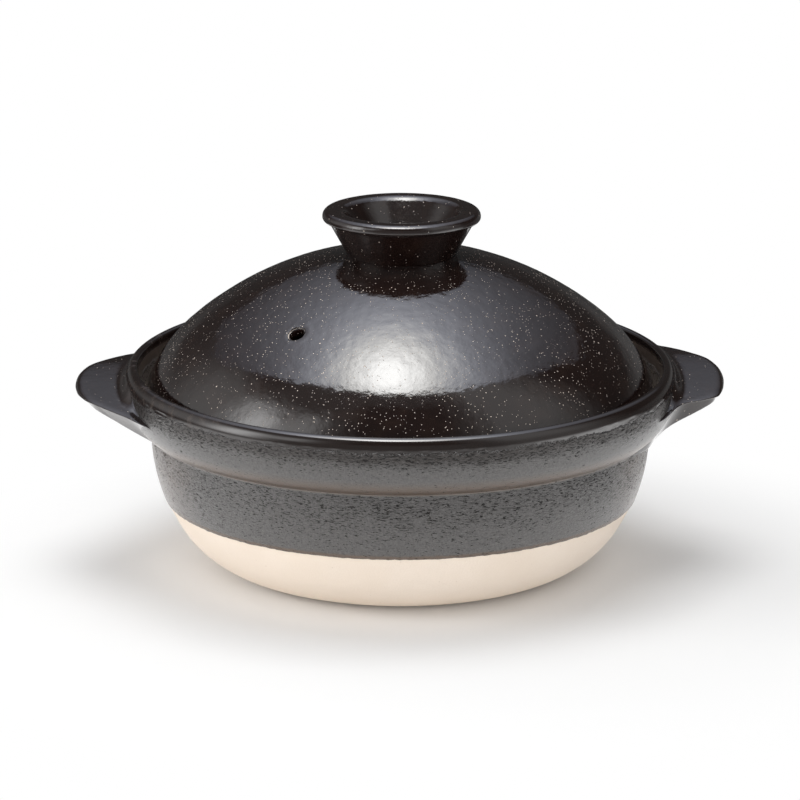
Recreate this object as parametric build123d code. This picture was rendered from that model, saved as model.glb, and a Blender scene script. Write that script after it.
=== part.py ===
from build123d import *

# A lidded clay cooking pot: a thrown bowl with two luted lug handles, and a domed lid with a
# flared knob and a steam hole. Each clay piece and each fired coat of glaze is a solid of its own.
#
# Millimetres. Z is up, and is the axis of the bowl and the lid. The origin is the centre of the
# flat foot, on the surface that the pot stands on. The lugs lie along X, and -Y is the front.

import os
from math import acos, asin, atan2, cos, radians, sin, sqrt

# Glaze, a fired coat over the clay, and how far a cutting solid overruns what it cuts
glaze = 0.6
overrun = 1.0

# Bowl wall, on the bare clay
foot_radius = 65.0
foot_ring_width = 17.0
foot_recess = 1.2
wall_radius = 113.1
wall_thickness = 6.6
shoulder_height = 62.3
heel_share = 0.87
glaze_line_height = 33.3

# Collar, the band that flares out above the wall and holds the lid
collar_flare = 11.3
collar_overhang = 1.4
collar_rise = 1.5
collar_toe = 0.9
collar_arc = 19.6
collar_lift = 9.1
lip_round = 1.7

# Seat, the bare ledge inside the collar that the lid rests on
seat_depth = 14.6
seat_lean = 3.4
seat_width = 9.4

# Lug handles
lug_projection = 23.6
lug_tip_width = 40.0
lug_tip_bow = 2.4
lug_root_width = 86.0
lug_corner = 15.0
lug_drop = 2.7
lug_pad_thickness = 6.5
lug_pad_round = 4.0
lug_root_depth = 17.0
lug_flank_inset = 12.0
lug_cove_share = 0.9

# Lid, on the bare clay
lid_play = 2.8
lid_seat_clearance = 0.1
lid_thickness = 5.8
lid_bare_edge = 2.6
lid_glazed_skirt = 3.0
lid_edge_arc = 12.0
lid_foot_round = 1.5
lid_rise = 64.2
crown_flat_share = 1.055
crown_angle = 41.4

# Steam hole, bored square to the dome
steam_hole_bore = 7.5
steam_hole_reach = 79.2
steam_hole_turn = -127.0

# Knob, luted on the crown
knob_radius = 35.9
knob_neck_radius = 26.0
knob_neck_rise = 1.1
knob_rise = 18.7
knob_rim_depth = 5.4
knob_rim_overhang = 2.9
knob_rim_thickness = 3.8
knob_rim_round_share = 0.47
dish_radius = 26.6
dish_depth = 11.5
dish_edge_round = 1.6

# Angles on an arc: straight down, straight out, straight up and straight in
DOWN, OUT, UP, IN = radians(-90), 0, radians(90), radians(180)


def polar(centre, radius, angle):
    """The point at an angle from straight out, turning up, about a centre."""
    return (centre[0] + radius * cos(angle), centre[1] + radius * sin(angle))


def arc(centre, radius, start, end):
    """An arc about a centre from one angle to another."""
    middle = (start + end) / 2
    return ThreePointArc(*[polar(centre, radius, angle) for angle in (start, middle, end)])


def lines(*points):
    """The straight edges from each point to the next."""
    return [Line(a, b) for a, b in zip(points, points[1:])]


def turned(edges):
    """The solid that a closed half outline makes when it is turned about Z."""
    return revolve(Plane.XZ * make_face(edges), Axis.Z)


def coat(inner, outer):
    """The coat between a run of edges on the clay and the same run at the coat's surface."""
    ends = lines(inner[0] @ 0, outer[0] @ 0) + lines(inner[-1] @ 1, outer[-1] @ 1)
    return turned(inner + outer + ends)


# Bowl outline. The heel's arc leaves the flat foot, and the wall's arc carries on from it to
# stand upright at the shoulder. One set of centres serves the clay and its coats.

heel_run = wall_radius - foot_radius
heel_arc = heel_share * heel_run
heel_centre = (foot_radius, heel_arc)
heel_climb = shoulder_height - heel_arc
wall_arc = (heel_run**2 + heel_climb**2 - heel_arc**2) / (2 * (heel_run - heel_arc))
wall_centre = (wall_radius - wall_arc, shoulder_height)
heel_end = -atan2(heel_climb, heel_centre[0] - wall_centre[0])
glaze_start = asin((glaze_line_height - shoulder_height) / wall_arc)

collar_radius = wall_radius + collar_flare
collar_foot = shoulder_height + collar_rise
collar_swell = collar_flare - collar_overhang
collar_drop = sqrt(collar_arc**2 - (collar_arc - collar_swell) ** 2)
collar_centre = (collar_radius - collar_arc, collar_foot + collar_toe + collar_drop)
lip_centre = (collar_radius - lip_round, collar_centre[1] + collar_lift)

seat_height = lip_centre[1] - seat_depth
seat_outer_radius = collar_radius - 2 * lip_round - seat_lean
seat_inner_radius = seat_outer_radius - seat_width


def foot_and_heel(depth):
    """The floor and the heel, at a depth below the outer surface, from the axis outwards."""
    floor = lines((0, depth), (heel_centre[0], depth))
    return floor + [arc(heel_centre, heel_arc - depth, DOWN, heel_end)]


def bowl_outside(skin):
    """The outside from the glaze line over collar and lip down to the seat, a skin off the clay."""
    toe_radius = wall_radius + collar_overhang + skin
    toe = collar_foot - skin
    swell = collar_arc + skin
    swell_start = -acos((toe_radius - collar_centre[0]) / swell)
    lip = lip_round + skin
    return [
        arc(wall_centre, wall_arc + skin, glaze_start, OUT),
        *lines(
            (wall_radius + skin, shoulder_height),
            (wall_radius + skin, toe),
            (toe_radius, toe),
            polar(collar_centre, swell, swell_start),
        ),
        arc(collar_centre, swell, swell_start, OUT),
        *lines(polar(collar_centre, swell, OUT), polar(lip_centre, lip, OUT)),
        arc(lip_centre, lip, OUT, IN),
        *lines(polar(lip_centre, lip, IN), (seat_outer_radius - skin, seat_height)),
    ]


def bowl_inside(skin):
    """The inside from the axis up to the seat's inner edge, a skin over the clay."""
    depth = wall_thickness + skin
    return [
        *foot_and_heel(depth),
        arc(wall_centre, wall_arc - depth, heel_end, OUT),
        *lines((wall_radius - depth, shoulder_height), (seat_inner_radius - skin, seat_height)),
    ]


def whole_outside():
    """All of the bare clay's outside, from the axis at the foot to the seat's outer edge."""
    bare_wall = arc(wall_centre, wall_arc, heel_end, glaze_start)
    return foot_and_heel(0) + [bare_wall] + bowl_outside(0)


def make_bowl_clay():
    """The thrown bowl, with its bare foot and the bare seat for the lid."""
    seat = lines((seat_outer_radius, seat_height), (seat_inner_radius, seat_height))
    axis = lines((0, 0), (0, wall_thickness))
    recess = Cylinder(foot_radius - foot_ring_width, 2 * foot_recess)
    return turned(whole_outside() + seat + bowl_inside(0) + axis) - recess


def bowl_block():
    """All that the bare clay's outside encloses, up to the lip, as one full solid."""
    across = lines(polar(lip_centre, lip_round, IN), (0, lip_centre[1]), (0, 0))
    return turned(whole_outside()[:-1] + across)


# Lug handles. The pad is what the fingers hold; the hull under it runs down to the collar.


def lug_plan(inset, level):
    """A lug seen from above, drawn in by an inset: bowed tip, slanting flanks and a buried root."""
    tip_half = lug_tip_width / 2 - inset
    root_half = lug_root_width / 2 - inset
    corner = collar_radius + lug_projection - lug_tip_bow - inset
    root = collar_radius - inset
    buried = sqrt(wall_radius**2 - (lug_root_width / 2) ** 2)
    tip = ThreePointArc((corner, -tip_half), (corner + lug_tip_bow, 0), (corner, tip_half))
    sides = lines(
        (corner, tip_half),
        (root, root_half),
        (buried, root_half),
        (buried, -root_half),
        (root, -root_half),
        (corner, -tip_half),
    )
    plan = make_face([tip, *sides])
    outer = plan.vertices().sort_by(Axis.X)[-4:]
    return Pos(0, 0, level) * fillet(outer, lug_corner * tip_half / (lug_tip_width / 2))


def lug_underside(top):
    """The space under a lug, whose underside falls in a slope from the tip to the collar."""
    tip = (collar_radius + lug_projection, top - lug_pad_thickness)
    root = (collar_radius, top - lug_root_depth)
    inner = (2 * root[0] - tip[0], 2 * root[1] - tip[1])
    outer = (2 * tip[0] - root[0], 2 * tip[1] - root[1])
    deep = inner[1] - lug_root_depth
    slope = make_face(lines(outer, inner, (inner[0], deep), (outer[0], deep), outer))
    return extrude(Plane.XZ * slope, amount=lug_root_width, both=True)


def lug_cove(top):
    """The hollow curve that joins a lug's top to the collar, as a ring cut to the lug's plan.

    The curve's foot lies a little below the lug's top, so that the two meet at a line."""
    reach = lug_cove_share * lug_drop
    face = collar_radius + glaze
    centre = (face + reach, top + lug_cove_share * reach)
    under = top - lug_pad_thickness
    hollow = arc(centre, reach, DOWN, -IN)
    back = lines((face, centre[1]), (wall_radius, centre[1]), (wall_radius, under))
    front = lines((wall_radius, under), (centre[0], under), (centre[0], centre[1] - reach))
    return turned([hollow, *back, *front]) & extrude(lug_plan(0, under), amount=centre[1] - under)


def make_lug(clay):
    """A lug on the +X side, luted to the collar."""
    top = lip_centre[1] - lug_drop
    crease = top - lug_pad_thickness
    pad = extrude(lug_plan(0, crease), amount=lug_pad_thickness)
    rim = pad.faces().sort_by(Axis.Z)[-1].edges().sort_by(Axis.X)[1:]
    pad = fillet(rim, lug_pad_round)
    low = lug_plan(lug_flank_inset, crease - lug_root_depth)
    hull = loft([lug_plan(0, crease), low], ruled=True) - lug_underside(top)
    return pad + hull + lug_cove(top) - clay


def make_handles():
    """Both lugs: the same piece, turned half round."""
    lug = make_lug(bowl_block())
    return {"handle_right": lug, "handle_left": lug.rotate(Axis.Z, 180)}


# Lid outline, from the crown's arc through the brow's to the tight arc above the edge

lid_radius = seat_outer_radius - lid_play
lid_foot = seat_height + lid_seat_clearance
coat_foot = lid_foot + lid_bare_edge
edge_height = coat_foot + lid_glazed_skirt
crown_height = edge_height + lid_rise
edge_centre = (lid_radius - lid_edge_arc, edge_height)
even_arc = (edge_centre[0] ** 2 + lid_rise**2 - lid_edge_arc**2) / (2 * (lid_rise - lid_edge_arc))
crown_arc = crown_flat_share * even_arc
crown_centre = (0, crown_height - crown_arc)
crown_end = UP - radians(crown_angle)
edge_climb = edge_height - crown_centre[1]
inward = crown_arc - lid_edge_arc
along = edge_centre[0] * cos(crown_end) + edge_climb * sin(crown_end)
centre_shift = (inward**2 - edge_centre[0] ** 2 - edge_climb**2) / (2 * (inward - along))
brow_arc = crown_arc - centre_shift
brow_centre = polar(crown_centre, centre_shift, crown_end)
brow_end = atan2(edge_height - brow_centre[1], edge_centre[0] - brow_centre[0])


def dome(offset, foot):
    """The dome from the axis down to a foot height, at an offset outside the bare clay."""
    return [
        arc(crown_centre, crown_arc + offset, UP, crown_end),
        arc(brow_centre, brow_arc + offset, crown_end, brow_end),
        arc(edge_centre, lid_edge_arc + offset, brow_end, OUT),
        *lines((lid_radius + offset, edge_height), (lid_radius + offset, foot)),
    ]


def make_lid_clay():
    """The thrown lid, bare at the edge that stands on the seat."""
    foot = lines((lid_radius, lid_foot), (lid_radius - lid_thickness, lid_foot))
    axis = lines((0, crown_height), (0, crown_height - lid_thickness))
    lid = turned(dome(0, lid_foot) + foot + dome(-lid_thickness, lid_foot) + axis)
    return fillet(lid.faces().sort_by(Axis.Z)[0].edges(), lid_foot_round)


def make_lid_outer_glaze():
    """The coat over the dome, down to the bare edge."""
    return coat(dome(0, coat_foot), dome(glaze, coat_foot))


def make_lid_inner_glaze():
    """The coat under the dome, down to the bare edge."""
    return coat(dome(-lid_thickness, coat_foot), dome(-lid_thickness - glaze, coat_foot))


def make_steam_hole():
    """The cutter for the steam hole, square to the dome."""
    on_crown = steam_hole_reach < crown_arc * cos(crown_end)
    centre, radius = (crown_centre, crown_arc) if on_crown else (brow_centre, brow_arc)
    lean = acos((steam_hole_reach - centre[0]) / radius)
    mouth = polar(centre, radius, lean)
    across = Plane(origin=(mouth[0], 0, mouth[1]), z_dir=(cos(lean), 0, sin(lean)))
    drill = across * Cylinder(steam_hole_bore / 2, 4 * (lid_thickness + overrun))
    return drill.rotate(Axis.Z, steam_hole_turn)


def make_knob():
    """The flared knob with its hollow dish, standing on the bare crown."""
    top = crown_height + knob_rise
    waist_radius = knob_radius - knob_rim_overhang
    neck_angle = acos(knob_neck_radius / crown_arc)
    dish_arc = (dish_radius**2 + dish_depth**2) / (2 * dish_depth)
    dish_centre = (0, top - dish_depth + dish_arc)
    dish_start = atan2(top - dish_centre[1], dish_radius)
    outline = [
        arc(crown_centre, crown_arc, UP, neck_angle),
        *lines(
            polar(crown_centre, crown_arc, neck_angle),
            (knob_neck_radius, crown_height + knob_neck_rise),
            (waist_radius, top - knob_rim_depth),
            (knob_radius, top - knob_rim_thickness),
            (knob_radius, top),
            (dish_radius, top),
        ),
        arc(dish_centre, dish_arc, dish_start, DOWN),
        *lines((0, top - dish_depth), (0, crown_height)),
    ]
    face = make_face(outline)
    face = fillet(face.vertices().sort_by(Axis.X)[-2:], knob_rim_round_share * knob_rim_thickness)
    edge = face.vertices().sort_by_distance((dish_radius, top))[0]
    return revolve(Plane.XZ * fillet(edge, dish_edge_round), Axis.Z)


def write(name, shape):
    """Writes one node, and prints how many solids it holds and their volume."""
    export_step(shape, os.path.join("parts", name + ".step"))
    print(name, len(shape.solids()), "solids", round(shape.volume / 1000, 1), "cm3")


os.makedirs("parts", exist_ok=True)
handles = make_handles()
knob = make_knob()
steam_hole = make_steam_hole()
write("bowl_clay", make_bowl_clay())
write("bowl_inner_glaze", coat(bowl_inside(0), bowl_inside(glaze)))
write("bowl_outer_glaze", coat(bowl_outside(0), bowl_outside(glaze)) - list(handles.values()))
for name, handle in handles.items():
    write(name, handle)
write("lid_clay", make_lid_clay() - steam_hole)
write("lid_inner_glaze", make_lid_inner_glaze() - steam_hole)
write("lid_outer_glaze", make_lid_outer_glaze() - knob - steam_hole)
write("lid_knob", knob)
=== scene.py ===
# %% [markdown]
# # A lidded clay cooking pot
# The pot is thrown stoneware: a bowl with a bare foot, a dark glaze that stops at a line, two lug
# handles, and a domed lid with a flared knob. The construction model gives every piece its size and
# its place, and this script gives each one its surface. Sizes are real, written in millimetres.

# %% Load the construction model
from math import acos, asin, atan2, ceil, cos, pi, radians, sin, sqrt, tan, tau

import bmesh
import bpy
from mathutils import Matrix, Vector, noise


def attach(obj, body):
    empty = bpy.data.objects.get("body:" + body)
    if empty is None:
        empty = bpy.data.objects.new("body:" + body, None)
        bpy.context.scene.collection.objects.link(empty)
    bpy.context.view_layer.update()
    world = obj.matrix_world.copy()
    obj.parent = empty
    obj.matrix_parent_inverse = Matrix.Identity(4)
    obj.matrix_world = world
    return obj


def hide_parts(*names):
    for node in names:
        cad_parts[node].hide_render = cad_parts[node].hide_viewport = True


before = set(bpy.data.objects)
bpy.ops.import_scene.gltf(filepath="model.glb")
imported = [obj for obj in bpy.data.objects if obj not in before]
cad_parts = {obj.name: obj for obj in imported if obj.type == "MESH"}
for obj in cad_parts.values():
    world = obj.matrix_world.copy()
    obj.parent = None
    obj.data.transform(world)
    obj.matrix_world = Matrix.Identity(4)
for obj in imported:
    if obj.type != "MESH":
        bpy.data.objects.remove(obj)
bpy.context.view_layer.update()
mm = 0.001
print("pieces to dress:", ", ".join(sorted(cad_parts)))

# %% [markdown]
# ## The camera
# The camera comes first, because everything after it is judged from there. It stands two metres
# off with a long lens, so the pot shows little perspective, and looks down by about fifteen
# degrees. It stands a little to the left of the pot's front.

# %% Set up the camera
def into_scene(name, data):
    """Makes an object of some data and puts it into the scene."""
    made = bpy.data.objects.new(name, data)
    bpy.context.scene.collection.objects.link(made)
    return made


camera_distance = 2.0
camera_elevation = 0.2704
camera_swing = radians(2.0)
camera_roll = radians(0.12)
aim = Vector((0, 0, 75.4 * mm))

level = camera_distance * cos(camera_elevation)
lens = bpy.data.cameras.new("camera")
lens.lens = 197.12
lens.sensor_width = 36.0
lens.shift_x = -0.00044
camera = into_scene("camera", lens)
camera.location = aim + Vector((-level * sin(camera_swing), -level * cos(camera_swing),
                                camera_distance * sin(camera_elevation)))
facing = (aim - camera.location).to_track_quat("-Z", "Y").to_matrix().to_4x4()
camera.rotation_euler = (facing @ Matrix.Rotation(camera_roll, 4, "Z")).to_euler()
bpy.context.scene.camera = camera
bpy.context.scene.view_settings.view_transform = "Standard"
print("camera at", [round(x, 3) for x in camera.location])

# %% [markdown]
# ## The sizes that the looks follow
# The glaze is a coat of 0.6 mm over the clay. The outlines of the bowl and the lid are arcs that
# run into each other, so a few radii and heights describe them. They are the same ones that the
# construction model is turned from.

# %% Sizes of the bowl
glaze = 0.6 * mm
foot_radius = 65.0 * mm
foot_ring_width = 17.0 * mm
foot_recess = 1.2 * mm
wall_radius = 113.1 * mm
wall_thickness = 6.6 * mm
shoulder_height = 62.3 * mm
heel_arc = 0.87 * (wall_radius - foot_radius)
heel_centre = (foot_radius, heel_arc)
heel_climb = shoulder_height - heel_arc
heel_run = wall_radius - foot_radius
wall_arc = (heel_run**2 + heel_climb**2 - heel_arc**2) / (2 * (heel_run - heel_arc))
wall_centre = (wall_radius - wall_arc, shoulder_height)
heel_end = -atan2(heel_climb, heel_centre[0] - wall_centre[0])
glaze_line = 33.3 * mm
glaze_start = asin((glaze_line - shoulder_height) / wall_arc)

collar_radius = 124.4 * mm
collar_foot = 63.8 * mm
collar_overhang = 1.4 * mm
collar_arc = 19.6 * mm
collar_centre = (collar_radius - collar_arc, 81.73 * mm)
lip_shoulder = 5.6 * mm
lip_crown = 2.3 * mm
lip_edge = 0.8 * mm
lip_turn = radians(44)
crown_turn = radians(56)
lip_top = 92.4 * mm
lip_rise = (lip_shoulder - lip_crown) * sin(lip_turn)
shoulder_centre = (collar_radius - lip_shoulder, lip_top - lip_crown - lip_rise)
seat_height = 76.23 * mm
seat_outer = 117.6 * mm
seat_inner = 108.2 * mm

# %% Sizes of the lid and the knob
lid_radius = 114.8 * mm
lid_thickness = 5.8 * mm
lid_foot = 76.33 * mm
coat_foot = 78.93 * mm
edge_arc = 12.0 * mm
edge_centre = (lid_radius - edge_arc, 81.93 * mm)
crown_height = 146.13 * mm
lid_rise = crown_height - edge_centre[1]
crown_arc = 1.055 * (edge_centre[0]**2 + lid_rise**2 - edge_arc**2) / (2 * (lid_rise - edge_arc))
crown_centre = (0, crown_height - crown_arc)
crown_end = pi / 2 - radians(41.4)
edge_climb = edge_centre[1] - crown_centre[1]
inward = crown_arc - edge_arc
along = edge_centre[0] * cos(crown_end) + edge_climb * sin(crown_end)
centre_shift = (inward**2 - edge_centre[0]**2 - edge_climb**2) / (2 * (inward - along))
brow_arc = crown_arc - centre_shift
brow_centre = (centre_shift * cos(crown_end), crown_centre[1] + centre_shift * sin(crown_end))
brow_end = atan2(edge_centre[1] - brow_centre[1], edge_centre[0] - brow_centre[0])

knob_radius = 35.9 * mm
knob_neck = 26.0 * mm
knob_top = crown_height + 18.7 * mm
rim_depth = 5.4 * mm
rim_thickness = 4.8 * mm
dish_radius = 26.6 * mm

hole_bore = 7.5 * mm
hole_middle = Vector((-46.72, -62.0, 120.53)) * mm
hole_axis = Vector((-0.32427, -0.43032, 0.84242)).normalized()
print("crown arc", round(crown_arc / mm, 1), "brow arc", round(brow_arc / mm, 1), "mm")

# %% [markdown]
# ## Drawing an outline
# A thrown pot is one outline turned about an axis. The outline is drawn like a potter's rib: it
# starts as one vertex, and each line or arc is that vertex extruded or spun a little further.

# %% A pen for outlines
def on_plane(point):
    """A (radius, height) as a place on the XZ plane."""
    return Vector((point[0], 0, point[1]))


def smooth(bm, verts, rounds, axes="xz"):
    """Smooths some vertices along some axes, a number of times."""
    along = {"use_axis_" + axis: True for axis in axes}
    for _ in range(rounds):
        bmesh.ops.smooth_vert(bm, verts=verts, factor=0.5, **along)


class Outline:
    """A run of edges on the XZ plane, given as (radius, height) and drawn from its last vertex on."""

    def __init__(self, start=None):
        self.bm = bmesh.new()
        if start:
            self.begin(start)

    def begin(self, start):
        """Starts a run of its own."""
        self.first = self.last = self.bm.verts.new(on_plane(start))

    def close(self, outside, inside):
        """Joins two runs at both ends, given as their first and last vertices."""
        for pair in zip(outside, inside):
            self.bm.edges.new(pair)

    def line(self, to, gap=1):
        """A straight run to a point, with a vertex about every gap."""
        run = on_plane(to) - self.last.co
        steps = max(1, round(run.length / gap))
        for _ in range(steps):
            self.last = bmesh.ops.extrude_vert_indiv(self.bm, verts=[self.last])["verts"][0]
            bmesh.ops.translate(self.bm, verts=[self.last], vec=run / steps)
        return self

    def arc(self, centre, turn, gap):
        """An arc about a centre, counterclockwise for a positive turn."""
        middle = on_plane(centre)
        steps = max(2, ceil((self.last.co - middle).length * abs(turn) / gap))
        made = bmesh.ops.spin(self.bm, geom=[self.last], cent=middle, axis=(0, -1, 0),
                              angle=turn, steps=steps)
        self.last = made["geom_last"][0]
        return self

    def soften(self, point, reach, rounds):
        """Rounds the corner at a point by smoothing the vertices near it."""
        near = [v for v in self.bm.verts if (v.co - on_plane(point)).length < reach]
        smooth(self.bm, near, rounds)


def polar(centre, radius, angle):
    """The point at an angle about a centre, as (radius, height)."""
    return (centre[0] + radius * cos(angle), centre[1] + radius * sin(angle))


def lip_run(outline, gap):
    """The lip: a broad shoulder, a rounder crown and a tight inner edge, one arc after another."""
    middle = shoulder_centre
    outline.arc(middle, lip_turn, gap)
    middle = polar(middle, lip_shoulder - lip_crown, lip_turn)
    outline.arc(middle, crown_turn, gap)
    middle = polar(middle, lip_crown - lip_edge, lip_turn + crown_turn)
    outline.arc(middle, pi - lip_turn - crown_turn, gap / 2)


# %% [markdown]
# ## Turning the wheel
# Spinning a fine outline in hundreds of steps is slow, because each step walks over all that is
# there already. So the wheel turns one narrow slice, and copies of the slice close the ring. The
# seams are merged, and the normals are recalculated so that every face points outwards.

# %% The wheel
slices = 20


def everything(bm):
    """All the vertices, edges and faces of a mesh."""
    return bm.verts[:] + bm.edges[:] + bm.faces[:]


def weld(bm):
    """Joins the vertices that lie on each other."""
    bmesh.ops.remove_doubles(bm, verts=bm.verts, dist=0.001 * mm)


def throw(outline, steps):
    """Turns an outline full round in about that many steps."""
    bm = outline.bm
    slice_turn = tau / slices
    upright = {"cent": (0, 0, 0), "axis": (0, 0, 1)}
    bmesh.ops.spin(bm, geom=everything(bm), angle=slice_turn, steps=round(steps / slices), **upright)
    bmesh.ops.spin(bm, geom=everything(bm), angle=tau - slice_turn, steps=slices - 1,
                   use_duplicate=True, **upright)
    weld(bm)
    bmesh.ops.recalc_face_normals(bm, faces=bm.faces)
    bm.normal_update()
    return bm


# %% Keep a mesh as a piece
def as_mesh(bm, name):
    """Turns a bmesh into a mesh, and frees it."""
    mesh = bpy.data.meshes.new(name)
    bm.to_mesh(mesh)
    bm.free()
    return mesh


def piece(bm, name, body, slot, *nodes):
    """Makes a mesh a piece of the pot: it rides on its body and stands for its nodes."""
    for face in bm.faces:
        face.smooth = True
    made = into_scene(name, as_mesh(bm, name))
    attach(made, body)
    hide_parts(*nodes)
    print(name, len(made.data.polygons), "faces")


# %% [markdown]
# ## The unevenness of hand work
# No fired surface is a perfect arc. A noise field moves each vertex along its normal by about a
# tenth of a millimetre. Because it is in the mesh, the highlights waver as they do on real glaze,
# from every side.

# %% Helpers for uneven surfaces
def ease(value, low, high):
    """0 below low, 1 above high, and a smooth rise between."""
    t = min(1, max(0, (value - low) / (high - low)))
    return t * t * (3 - 2 * t)


def ripple(point, size, stretch=1):
    """Smooth noise from -1 to 1, whose lumps are about a size across and stretched round the pot."""
    return noise.noise(Vector((point.x, point.y, point.z * stretch)) / size)


# %% [markdown]
# ## The bowl's outer coat
# This coat runs from the line above the bare foot, up the wall, out over the step of the collar,
# over the lip and down to the ledge inside. It is a closed shell: a fine outline on the outside
# and a coarse one on the clay, joined at both ends. The clay under it is drawn with the same run.

# %% Draw the coat's outline
def collar_run(outline, skin, wall_gap, step_gap, swell_gap, side_gap, lip_gap, drop_gap):
    """From the glaze line to the ledge, a skin off the clay. Returns both ends."""
    toe = wall_radius + collar_overhang + skin
    swell = collar_arc + skin
    swell_start = -acos((toe - collar_centre[0]) / swell)
    step = collar_foot - skin
    outline.arc(wall_centre, -glaze_start, wall_gap)
    outline.line((wall_radius + skin, step), step_gap).line((toe, step), step_gap)
    outline.line(polar(collar_centre, swell, swell_start), step_gap)
    outline.arc(collar_centre, -swell_start, swell_gap)
    outline.line((collar_radius + skin, shoulder_centre[1]), side_gap)
    lip_run(outline, lip_gap)
    outline.line((seat_outer - skin, seat_height), drop_gap)
    return outline.first, outline.last


fine_gaps = [gap * mm for gap in (0.46, 0.3, 0.62, 0.7, 0.5, 1.4)]
outline = Outline(polar(wall_centre, wall_arc + glaze, glaze_start))
outside = collar_run(outline, glaze, *fine_gaps)
toe_corner = wall_radius + collar_overhang + glaze
outline.soften((toe_corner, collar_foot - glaze), 0.7 * mm, 2)
outline.soften((wall_radius + glaze, collar_foot - glaze), 0.7 * mm, 2)
outline.soften((toe_corner, collar_foot + glaze), 1.6 * mm, 5)
outline.begin(polar(wall_centre, wall_arc, glaze_start))
inside = collar_run(outline, 0, *(9 * gap for gap in fine_gaps))
outline.close(outside, inside)
print("outline of", len(outline.bm.verts), "vertices")

# %% [markdown]
# The rim of the real bowl isn't quite level. It was lifted off the wheel with a slight tilt, lower
# at the front than at the back, and the ledge inside was trimmed level again for the lid.

# %% Tilt the rim
rim_lift = 0.5 * mm
rim_tilt = 0.013
tilt_none = 79 * mm
tilt_full = 89 * mm


def settle(bm):
    """Tilts what is higher than the ledge."""
    for vert in bm.verts:
        vert.co.z += ease(vert.co.z, tilt_none, tilt_full) * (rim_lift + rim_tilt * vert.co.y)
    bm.normal_update()


# %% [markdown]
# The wall was wiped while the glaze was wet, which dragged its pinholes into short dashes. The
# dashes are densest under the step and under the lip. The longest are pressed into the mesh, and a
# vertex attribute keeps how deep each one is, so that the colour can follow the relief.

# %% How deep the dashes are
dash_depth = 0.16 * mm
dash_length = 3.6 * mm
dash_flatness = 3.4
crowd_size = 30 * mm
bare_margin = 4 * mm
fringe_foot = 79 * mm
fringe_rise = 3 * mm


def dash(point):
    """How deep a dash is at a point on the wall, from 0 to 1."""
    crowd = 0.6 + 0.8 * ripple(point, crowd_size)
    wall = ease(point.z, glaze_line + bare_margin, shoulder_height - bare_margin)
    fringe = ease(point.z, fringe_foot, fringe_foot + fringe_rise)
    amount = 0.2 + 0.8 * wall * crowd if point.z < collar_foot else 0.1 + 0.8 * fringe
    slant = Vector((0, 0, dash_length / 3 * ripple(point, 6 * mm)))
    grain = ripple(point + slant, dash_length, dash_flatness) + 0.3 * ripple(point, 2.4 * mm, 2.5)
    return ease(grain, 0.5 - 0.36 * amount, 0.8 - 0.36 * amount)


# %% [markdown]
# The coat is turned first. Every vertex on the outside of the wall is then pushed in by its dash,
# and the coat's lower edge is waved a little, up and down.

# %% Press the dashes into the wall
glaze_wave = 0.4 * mm
wave_reach = 6 * mm
smooth_line = 88 * mm
bowl_coat = throw(outline, 540)
depth_layer = bowl_coat.verts.layers.float.new("dash")
for vert in bowl_coat.verts:
    radius = sqrt(vert.co.x**2 + vert.co.y**2)
    height = vert.co.z
    outer = vert.normal.x * vert.co.x + vert.normal.y * vert.co.y > -0.2 * radius
    if outer and height < smooth_line and radius > wall_radius * 0.9:
        depth = dash(vert.co)
        vert[depth_layer] = depth
        away = ease(height, glaze_line, glaze_line + 1.5 * mm)
        vert.co -= vert.normal * (dash_depth * depth * away)
    low = ease(-height, -glaze_line - wave_reach, -glaze_line)
    vert.co.z += low * glaze_wave * (0.3 * ripple(vert.co, 11 * mm) + 0.8 * ripple(vert.co, 2.4 * mm))
settle(bowl_coat)
piece(bowl_coat, "bowl_glaze_outside", "bowl", "wall_glaze", "bowl_outer_glaze")

# %% [markdown]
# ## The clay bowl
# Under the coats is one thrown bowl. Its bare foot shows, with a shallow recess turned into the
# underside, and so does the bare ledge that the lid stands on.

# %% Turn the clay bowl
outline = Outline((0, foot_recess))
ring_inner = foot_radius - foot_ring_width
outline.line((ring_inner - foot_recess, foot_recess), 4 * mm).line((ring_inner, 0), 0.5 * mm)
outline.line((foot_radius, 0), 1.2 * mm)
outline.arc(heel_centre, heel_end + pi / 2, 0.9 * mm)
outline.arc(wall_centre, glaze_start - heel_end, 0.9 * mm)
collar_run(outline, 0, *(gap * mm for gap in (4, 2, 2.5, 3, 1.5, 3)))
outline.line((seat_inner, seat_height), 0.9 * mm)
outline.line((wall_radius - wall_thickness, shoulder_height), 2.5 * mm)
outline.arc(wall_centre, heel_end, 4 * mm).arc(heel_centre, -pi / 2 - heel_end, 4 * mm)
outline.line((0, wall_thickness), 6 * mm).line((0, foot_recess))

# %% [markdown]
# The potter's fingers left rings on the foot, a few hundredths of a millimetre high.

# %% Leave throwing rings on the foot
ring_height = 0.05 * mm
ring_gap = 2.4 * mm
flat_foot = 0.5 * mm
bowl_clay = throw(outline, 400)
for vert in bowl_clay.verts:
    height = vert.co.z
    if flat_foot < height < glaze_line:
        rise = ease(height, flat_foot, 6 * mm)
        ring = ring_height * sin(height / ring_gap + 2 * ripple(vert.co, 60 * mm))
        vert.co += vert.normal * rise * (ring + 0.12 * mm * (ripple(vert.co, 22 * mm, 1.6) - 0.3))
settle(bowl_clay)
piece(bowl_clay, "bowl_body", "bowl", "bare_clay", "bowl_clay")

# %% [markdown]
# ## The bowl's inner coat
# The cooking surface is glazed up to the ledge. It is seen once the lid is lifted.

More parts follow.
